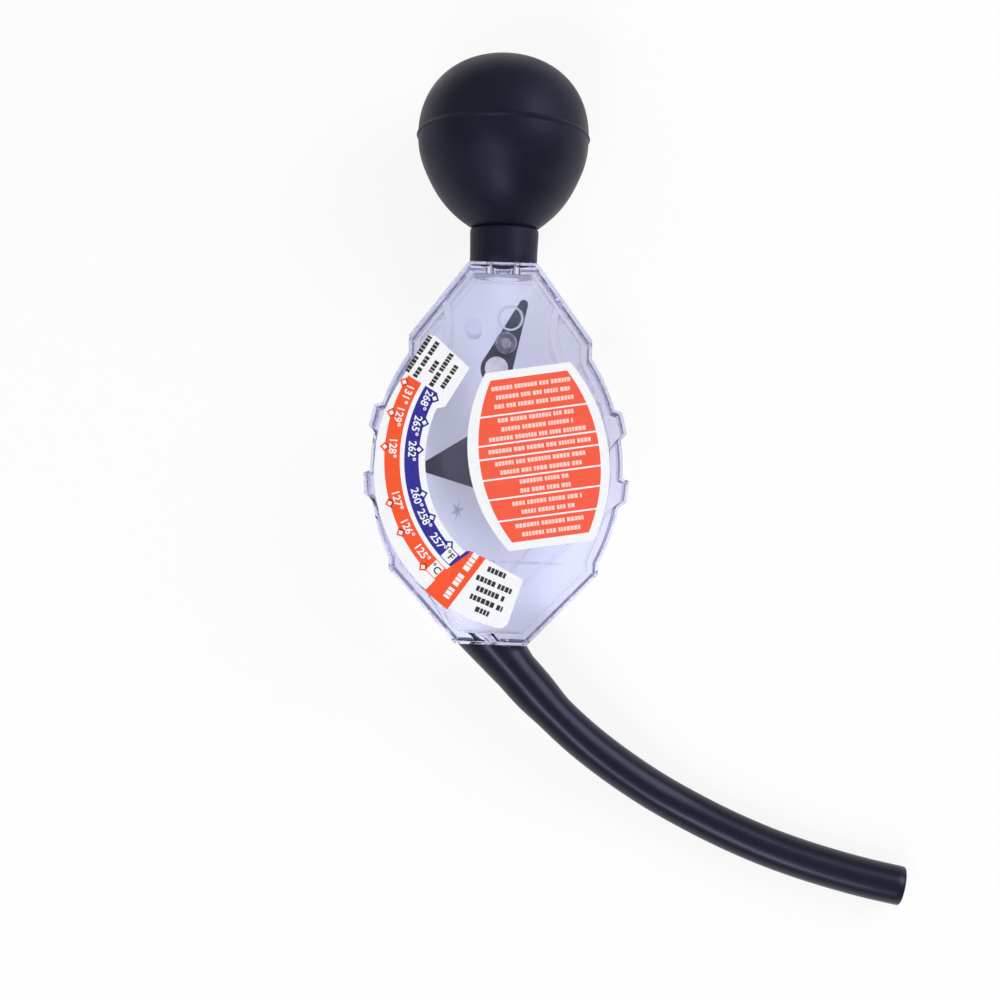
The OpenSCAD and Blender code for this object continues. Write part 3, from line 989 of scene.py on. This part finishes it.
@dataclass
class Bulb(SubAssembly):
    """The squeeze bulb: a ball that flattens, on a collar that stays on the neck.

    The lip's profile is measured from the ball's side at the seam, and the collar's from its side at its foot
    and at its top. The throat's pull and swell shape its curve below the ball and over the collar.
    """

    foot: float = 68.46
    centre: float = 92.2
    radius: float = 15.6
    crown_height: float = 14.6
    crown_power: float = 2.2
    wall: float = 2.2
    lip_half: float = 0.45
    lip: tuple[Point, ...] = ((0.2, 0.12), (0.25, 0.0), (0.1375, -0.1), (-0.02, -0.22))
    throat_start: float = 6.0
    throat_end: float = 16.5
    throat_pull: float = 4.5
    throat_swell: Point = (4.65, 3.12)
    throat_inset: float = 0.05
    throat_bore: float = 3.2
    ball_foot: Point = (-0.45, -0.02)
    lean: float = 0.75
    seam_tilt: float = 0.1
    collar_radius: float = 6.15
    collar_top: float = 75.7
    collar_gap: float = 0.04
    collar_low: tuple[Point, ...] = ((-0.35, 0.0), (-0.1, 0.1), (0.0, 0.35), (0.0, 2.5), (0.06, 4.6))
    collar_high: tuple[Point, ...] = ((0.12, -0.9), (0.072, -0.4), (-0.15, -0.1), (-0.5, 0.0))
    bore: float = 4.66
    squeeze: float = 9.0
    steps: int = 128
    crown_steps: int = 40
    side_steps: int = 24
    inner_steps: int = 32
    sharp: float = 50.0

    def ball_outside(self) -> list[Point]:
        """Draws the ball's outer section.

        Returns:
            Its points, from the crown down to the throat.
        """
        found = [(0.0, self.centre + self.crown_height)]
        for i in range(1, self.crown_steps):
            a = math.radians(90 * (1 - i / self.crown_steps))
            across, height = (s ** (2 / self.crown_power) for s in (math.cos(a), math.sin(a)))
            if height * self.crown_height > self.lip_half:
                found.append((self.radius * across, self.centre + self.crown_height * height))
        found.append((self.radius, self.centre + self.lip_half))
        found += [(self.radius + out, self.centre + rise) for out, rise in self.lip]
        for i in range(1, self.side_steps):
            drop = self.lip_half + (self.throat_start - self.lip_half) * i / self.side_steps
            found.append((math.sqrt(self.radius**2 - drop**2), self.centre - drop))
        wide = math.sqrt(self.radius**2 - self.throat_start**2)
        start = Vector((wide, self.centre - self.throat_start))
        heading = Vector((-self.throat_start, -wide)).normalized() * self.throat_pull
        end = Vector((self.collar_radius - self.throat_inset, self.centre - self.throat_end))
        return found + bezier(start, start + heading, end + Vector(self.throat_swell), end, self.side_steps)

    def settle(self, shape: BMesh) -> None:
        """Lets the soft ball lean to the left and its seam tilt, both from the collar up to the seam.

        Args:
            shape: the ball, in the housing's frame.
        """
        for v in shape.verts:
            share = min(1.0, max(0.0, v.co.y - self.collar_top) / (self.centre - self.collar_top))
            v.co.y += v.co.z * self.seam_tilt * share
            v.co.x -= self.lean * math.sqrt(share)

    def ball(self) -> Object:
        """Makes the hollow ball.

        Returns:
            The ball.
        """
        inner = self.crown_height - self.wall
        low = math.sqrt(inner**2 - self.throat_bore**2)
        start = math.asin(-low / inner)
        foot = self.collar_top + self.ball_foot[1]
        section = [*self.ball_outside(), (self.collar_radius + self.ball_foot[0], foot)]
        section += [(self.throat_bore, foot), (self.throat_bore, self.centre - low)]
        for i in range(1, self.inner_steps + 1):
            a = start + (math.pi / 2 - start) * i / self.inner_steps
            section.append((max(0.0, inner * math.cos(a)), self.centre + inner * math.sin(a)))
        shape = spun(section, self.steps)
        self.settle(shape)
        return self.maker.piece("bulb_ball", shape, BULB_RUBBER, Slot.BULB, Body.BULB, self.sharp)

    def collar(self) -> Object:
        """Makes the collar.

        Returns:
            The collar.
        """
        top = self.collar_top - self.collar_gap
        section = [(self.bore, self.foot)]
        for level, profile in ((self.foot, self.collar_low), (top, self.collar_high)):
            section += [(self.collar_radius + out, level + rise) for out, rise in profile]
        shape = spun([*section, (self.bore, top)], self.steps, True)
        return self.maker.piece("bulb_collar", shape, BULB_RUBBER, Slot.BULB, sharp=self.sharp)

    def build(self) -> list[Object]:
        """Makes the bulb.

        Returns:
            The ball and the collar.
        """
        ball, collar = self.ball(), self.collar()
        crown = self.centre + self.crown_height
        self.maker.lie.along()
        self.maker.lie.point((0, crown, 0))
        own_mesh(ball)
        for made in (ball, collar):
            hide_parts("squeeze_bulb")
        return [ball, collar]


@dataclass
class Housing(SubAssembly):
    """The clear shells, and what is fixed inside and on them."""

    nodes: dict[str, Object]
    groove_depth: float = 0.86
    seam_half: float = 0.002
    weld_reach: float = 0.08
    touch: float = 0.001
    near: float = 0.01
    neck_end: float = 74.0
    bores: tuple[tuple[float, float], ...] = ((180.0, 4.7), (180.0, 3.2), (43.8, 2.8), (43.8, 1.8))
    bore_slack: float = 0.03
    level_axle: Point = (1.0, 54.1)
    sight_place: Point = (1.7, 58.3)
    sight_radius: float = 2.05
    sight_width: float = 0.5
    sight_line: float = 0.26
    gate_radius: float = 1.8
    chamber_floor: float = -8.4
    # the small dark star-shaped mark on the chamber floor: its place, radii, points, turn and stretch
    star_place: Point = (-7.1, 23.9)
    star_radii: Range = (1.7, 0.55)
    star_points: int = 12
    star_turn: float = 75.0
    star_stretch: Point = (0.75, 1.2)
    fill_line: float = 14.65
    fill_line_size: Point = (26.0, 0.5)
    ridge: float = 0.25
    mark_half: float = 0.02
    ring_steps: int = 64
    pocket_floor: float = 1.7
    float_face: float = 2.5

    def on_bore(self, f: BMFace) -> bool:
        """Tells whether a face belongs to the wall of the neck's or the spout's tube.

        Args:
            f: the face.

        Returns:
            Whether it does.
        """
        for angle, radius in self.bores:
            a = math.radians(angle)
            run = Vector((math.sin(a), -math.cos(a), 0))
            if all(abs((v.co - run * v.co.dot(run)).length - radius) < self.bore_slack for v in f.verts):
                return True
        return False

    def on_neck_end(self, f: BMFace) -> bool:
        """Tells whether a face lies on the end of the neck."""
        return min(v.co.y for v in f.verts) > self.neck_end

    def half(self, node: str, side: int) -> BMesh:
        """Copies one shell, open where it meets the other one.

        Args:
            node: the shell's solid.
            side: 1 for the front shell, -1 for the rear one.

        Returns:
            The half without its tongue or groove and without its seam faces.
        """
        shape = self.maker.copy(self.nodes[node])
        gone = []
        for f in shape.faces:
            high = max(side * v.co.z for v in f.verts)
            groove = side > 0 and high < self.groove_depth and not self.on_bore(f) and not self.on_neck_end(f)
            if high < self.touch or groove:
                gone.append(f)
        bmesh.ops.delete(shape, geom=gone, context="FACES")
        return shape

    def close(self, shape: BMesh) -> None:
        """Fills what the weld leaves open, with each new face turned as its neighbours are.

        Args:
            shape: the housing, in its own frame.
        """
        open_edges = [e for e in shape.edges if e.is_boundary]
        filled = set(bmesh.ops.holes_fill(shape, edges=open_edges, sides=0)["faces"])
        for f in filled:
            beside = next(loop for loop in f.loops if loop.link_loop_radial_next.face not in filled)
            if beside.vert == beside.link_loop_radial_next.vert:
                f.normal_flip()

    def slim_ring(self, shape: BMesh) -> None:
        """Narrows the sight ring's ridge to a fine line.

        Args:
            shape: the housing, in its own frame.
        """
        for v in shape.verts:
            out = v.co - Vector((*self.sight_place, v.co.z))
            off = out.length - self.sight_radius
            if v.co.z > DIAL_FACE - self.near and abs(off) < self.sight_width / 2 + 2 * self.near:
                v.co -= out.normalized() * off * (1 - self.sight_line / self.sight_width)

    def welded(self) -> Object:
        """Makes the two shells as one welded housing.

        Returns:
            The housing.
        """
        shape = bmesh.new()
        for node, side in (("front_shell", 1), ("rear_shell", -1)):
            carried = meshed(node, self.half(node, side))
            shape.from_mesh(carried)
            bpy.data.meshes.remove(carried)
        seam = [v for v in shape.verts if abs(v.co.z) < self.seam_half]
        bmesh.ops.remove_doubles(shape, verts=seam, dist=self.weld_reach)
        self.close(shape)
        self.slim_ring(shape)
        # the finish rounds the edges, so the faces stay flat
        made = self.maker.piece("clear_housing", shape, CLEAR, Slot.CLEAR, sharp=1.0)
        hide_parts("front_shell", "rear_shell")
        return made

    def dial_marks(self) -> list[Object]:
        """Makes the sight ring's pale line, a painted highlight on its moulded ridge, and the frosted gate
        mark over the level pointer's axle.

        Returns:
            The marks.
        """
        inner, outer = self.sight_radius - self.sight_line / 2, self.sight_radius + self.sight_line / 2
        low, high = self.ridge - self.mark_half, self.ridge + self.mark_half
        ring = [(inner, low), (outer, low), (outer, high), (inner, high)]
        rim = [(self.gate_radius, -self.mark_half), (self.gate_radius, self.mark_half)]
        disc = [(0.0, -self.mark_half), *rim, (0.0, self.mark_half)]
        stand = Matrix.Rotation(math.pi / 2, 4, "X")
        made = []
        for name, section, closed, place, finish in (
            # the sight ring's pale tint is a painted highlight on its ridge
            ("sight_ring", ring, True, self.sight_place, SIGHT_RING_HIGHLIGHT),
            ("gate_mark", disc, False, self.level_axle, GATE_FROST),
        ):
            shape = spun(section, self.ring_steps, closed)
            shape.transform(Matrix.Translation((*place, DIAL_FACE)) @ stand)
            made.append(self.maker.piece(name, shape, finish, Slot.CLEAR))
        return made

    def floor_marks(self) -> list[Object]:
        """Makes what shows on the floor of the chamber: the fill line and a small dark star-shaped mark.

        Returns:
            The marks.
        """
        levels = (self.chamber_floor + self.ridge, self.chamber_floor)
        line, star = (Sheet(level - self.mark_half, level + self.mark_half) for level in levels)
        line.block((0.0, self.fill_line), (1.0, 0.0), *self.fill_line_size)
        (x, y), (wide, tall) = self.star_place, self.star_stretch
        points = []
        for i in range(self.star_points):
            a, r = math.radians(self.star_turn) + FULL_TURN * i / self.star_points, self.star_radii[i % 2]
            points.append((x + wide * r * math.cos(a), y + tall * r * math.sin(a)))
        star.outline(points)
        return [
            self.maker.piece("fill_line_mark", line.thick(), FILL_FROST, Slot.CLEAR),
            self.maker.piece("dark_star", star.thick(), DARK_STAR, Slot.CLEAR),
        ]

    def float_wedge(self) -> Object:
        """Makes the float pointer, with the pockets in its faces filled.

        Returns:
            The pointer.
        """
        shape = self.maker.copy(self.nodes["float_pointer"])
        for v in shape.verts:
            if abs(abs(v.co.z) - self.pocket_floor) < self.near:
                v.co.z = math.copysign(self.float_face, v.co.z)
        bmesh.ops.remove_doubles(shape, verts=shape.verts, dist=self.touch)
        made = self.maker.piece("float_wedge", shape, POINTER, Slot.POINTER, Body.POINTER)
        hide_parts("float_pointer")
        return made

    def dress(self) -> list[Object]:
        """Gives each solid that stays its finish.

        Returns:
            The solids.
        """
        finishes = {
            "level_pointer": POINTER, "float_weight": BRASS, "level_weight": PLATED, "float_axle": STEEL,
            "level_axle": STEEL, "scale_label": WHITE_FILM,
        }
        for name, finish in finishes.items():
            self.maker.dress(self.nodes[name], finish)
        return [self.nodes[name] for name in finishes]

    def build(self) -> list[Object]:
        """Makes the housing, its marks and the float pointer, and dresses the solids.

        Returns:
            The pieces and the solids.
        """
        made = [self.welded(), *self.dial_marks(), *self.floor_marks(), self.float_wedge()]
        return made + self.dress()


@dataclass(frozen=True)
class Notes:
    """Lines of blank print: their direction, their blocks' height, and each line's middle and length."""

    run: Point
    height: float
    lines: tuple[tuple[Point, float], ...]

    def print_on(self, sheet: Sheet, dice: random.Random) -> None:
        """Prints the lines on a layer."""
        for centre, length in self.lines:
            sheet.word_bars(centre, self.run, length, self.height, dice)


@dataclass
class Scale(SubAssembly):
    """The scale label's print: two bands of temperatures, and the notes at both ends.

    Angles are those over the line from the float's axle to the left.
    """

    axle: Point = FLOAT_AXLE
    orange_band: Range = (26.4, 29.15)
    blue_band: Range = (23.05, 25.6)
    top_angle: float = 29.5
    end_angle: float = -49.6
    band_steps: int = 72
    diamonds: tuple[float, ...] = (26.8, 15.2, 3.1, -16.8, -27.8, -42.1)
    diamond: float = 0.9
    diamond_window: float = 0.52
    orange_numbers: tuple[tuple[str, float], ...] = (
        ("131°", 23.4), ("129°", 14.7), ("128°", 2.9), ("127°", -16.5), ("126°", -27.4), ("125°", -37.9),
    )
    blue_numbers: tuple[tuple[str, float], ...] = (
        ("268°", 24.4), ("265°", 13.0), ("262°", 2.2), ("260°", -17.6), ("258°", -27.0), ("257°", -38.4),
    )
    type_size: float = 1.92
    unit_angle: float = -45.6
    unit_size: float = 2.1
    unit_edge: float = 0.3
    unit_type: float = 0.95
    end_block: tuple[Point, ...] = ((-3.95, 16.65), (-1.35, 15.5), (-7.9, 6.25), (-12.0, 9.45), (-9.0, 12.8))
    end_sliver: tuple[Point, ...] = ((-5.7, 16.0), (-4.9, 16.7), (-3.95, 16.75), (-7.3, 13.4), (-7.2, 14.4))
    end_lift: float = 0.006
    heading: Notes = Notes((-0.553, -0.833), 1.15, (((-4.0, 14.75), 3.6), ((-6.85, 10.45), 5.0)))
    top_notes: Notes = Notes(
        (-0.527, -0.85), 0.85,
        (
            ((-14.56, 51.25), 7.9), ((-13.09, 50.46), 7.4), ((-11.66, 49.21), 2.3), ((-10.43, 48.56), 7.1),
            ((-8.93, 47.43), 4.9),
        ),
    )
    foot_notes: Notes = Notes(
        (0.93, -0.368), 0.95,
        (
            ((0.97, 12.96), 4.1), ((0.28, 10.95), 6.8), ((-0.3, 9.3), 5.4), ((-1.0, 7.68), 6.2),
            ((-1.7, 6.1), 2.6),
        ),
    )
    seed: int = 7

    def at(self, radius: float, angle: float) -> Point:
        """A place on the dial, by its distance from the axle and its angle."""
        a = math.radians(angle)
        return (self.axle[0] - radius * math.cos(a), self.axle[1] + radius * math.sin(a))

    def downward(self, angle: float) -> Point:
        """The direction along the scale from its upper to its lower end."""
        a = math.radians(angle)
        return (-math.sin(a), -math.cos(a))

    def build(self) -> list[Object]:
        """Makes the printed layers.

        Returns:
            The layers.
        """
        dice = random.Random(self.seed)
        orange, blue = Sheet.on_label(Layer.FIELD), Sheet.on_label(Layer.FIELD)
        white, dark = Sheet.on_label(Layer.PALE), Sheet.on_label(Layer.DARK)
        for ink, radii, edge, numbers, unit in (
            (orange, self.orange_band, self.orange_band[1], self.orange_numbers, "°C"),
            (blue, self.blue_band, self.blue_band[0], self.blue_numbers, "°F"),
        ):
            middle, wide = sum(radii) / 2, radii[1] - radii[0]
            ink.band(self.axle, radii, 180 - self.top_angle, 180 - self.end_angle, self.band_steps)
            for angle in self.diamonds:
                place, run = self.at(edge, angle), self.downward(angle)
                ink.diamond(place, run, self.diamond)
                white.diamond(place, run, self.diamond * self.diamond_window)
            for number, angle in numbers:
                white.lettering(number, self.type_size, self.at(middle, angle), self.downward(angle))
            place, run = self.at(middle, self.unit_angle), self.downward(self.unit_angle)
            white.block(place, run, self.unit_size, wide - self.unit_edge)
            dark.lettering(unit, self.type_size * self.unit_type, place, run)
        orange.outline(self.end_block, self.end_lift)
        blue.outline(self.end_sliver, self.end_lift / 2)
        for notes, sheet in ((self.heading, white), (self.top_notes, dark), (self.foot_notes, dark)):
            notes.print_on(sheet, dice)
        return [
            self.maker.piece(name, sheet.thick(), finish, Slot.SCALE)
            for name, sheet, finish in (
                ("scale_orange", orange, ORANGE_INK), ("scale_blue", blue, BLUE_INK),
                ("scale_white", white, WHITE_FILM), ("scale_dark", dark, DARK_INK),
            )
        ]


@dataclass
class Advice(SubAssembly):
    """The advice label: its white film, and a field of bands with lines of blank print.

    An outline has half its length, half its width at the ends, and how far its left and right sides bulge.
    """

    centre: Point = (7.6, 33.9)
    turn: float = 9.5
    film_thickness: float = 0.2
    film_outline: tuple[float, float, float, float] = (15.95, 7.6, 12.7, 12.3)
    field_outline: tuple[float, float, float, float] = (14.5, 6.85, 10.7, 10.7)
    side_half_steps: int = 12
    divide: float = 0.3
    dividers: tuple[float, ...] = (8.2, 3.1, 0.7, -3.0, -6.55, -10.5)
    line_middle: float = 0.3
    line_pitch: float = 1.6
    line_height: float = 0.76
    lines: tuple[tuple[float, ...], ...] = (
        (14.4, 13.2, 14.2), (13.6, 12.8, 17.6), (18.4,), (16.6, 15.2), (8.8, 9.0), (12.4, 9.6), (12.4, 10.4),
    )
    seed: int = 11

    def barrel(self, half_length: float, end_half: float, left: float, right: float) -> list[Point]:
        """Draws an outline with straight ends and bulging sides, about the label's centre.

        Args:
            half_length: half of its length.
            end_half: half of its width at the ends.
            left: how far the left side stands out in the middle.
            right: how far the right side does.

        Returns:
            Its corners.
        """
        steps = self.side_half_steps
        heights = [half_length * (i / steps - 1) for i in range(2 * steps + 1)]
        corners: list[Point] = []
        for way, bulge, run in ((1, right, heights), (-1, left, heights[::-1])):
            rise = bulge - end_half
            radius = (half_length**2 + rise**2) / (2 * rise)
            corners += [(way * (bulge - radius + math.sqrt(radius**2 - h**2)), h) for h in run]
        return corners

    def between_bands(self, height: float) -> bool:
        """Tells whether a height lies on a white dividing line."""
        return any(abs(height - level) < self.divide / 2 for level in self.dividers)

    def divided_field(self) -> Sheet:
        """Makes the coloured field and cuts it into bands.

        Returns:
            Its layer.
        """
        ink = Sheet.on_label(Layer.FIELD)
        ink.outline(self.barrel(*self.field_outline))
        for level in self.dividers:
            for height in (level - self.divide / 2, level + self.divide / 2):
                geom = [*ink.shape.verts, *ink.shape.edges, *ink.shape.faces]
                bmesh.ops.bisect_plane(ink.shape, geom=geom, plane_co=(0, height, 0), plane_no=(0, 1, 0))
        strips = [f for f in ink.shape.faces if self.between_bands(f.calc_center_median().y)]
        bmesh.ops.delete(ink.shape, geom=strips, context="FACES")
        return ink

    def blank_print(self) -> Sheet:
        """Makes the lines of blank print, some in each band.

        Returns:
            Their layer.
        """
        dice = random.Random(self.seed)
        pale = Sheet.on_label(Layer.PALE)
        levels = (self.field_outline[0], *self.dividers, -self.field_outline[0])
        for top, foot, lengths in zip(levels, levels[1:], self.lines):
            for i, length in enumerate(lengths):
                height = (top + foot) / 2 + self.line_pitch * ((len(lengths) - 1) / 2 - i)
                pale.word_bars((self.line_middle, height), (1, 0), length, self.line_height, dice)
        return pale

    def build(self) -> list[Object]:
        """Makes the film and its printed layers.

        Returns:
            The layers.
        """
        white = Sheet(LABEL_FACE - self.film_thickness, LABEL_FACE)
        white.outline(self.barrel(*self.film_outline))
        turn = Matrix.Translation((*self.centre, 0)) @ Matrix.Rotation(math.radians(self.turn), 4, "Z")
        made = []
        for name, sheet, finish in (
            ("advice_film", white, WHITE_FILM),
            ("advice_field", self.divided_field(), RED_INK),
            ("advice_print", self.blank_print(), PALE_INK),
        ):
            sheet.shape.transform(turn)
            made.append(self.maker.piece(name, sheet.thick(), finish, Slot.ADVICE))
        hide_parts("advice_label")
        return made


def main() -> None:
    """Builds the sub-assemblies in order and reports each piece."""
    logging.basicConfig(level=logging.INFO, format="%(name)s: %(message)s")
    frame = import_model()
    joints = {joint["name"]: joint for joint in frame["joints"]}
    maker = Maker(Lie.from_pivot(joints["float_swing"], Vector((*FLOAT_AXLE, 0))))
    Studio().build()
    for assembly in (Hose(maker), Bulb(maker), Housing(maker, frame["nodes"]), Scale(maker), Advice(maker)):
        for made in assembly.build():
            log.info("%s: %d faces in %s", made.name, len(made.data.polygons), made.data.materials[0].name)


if __name__ == "__main__":
    main()
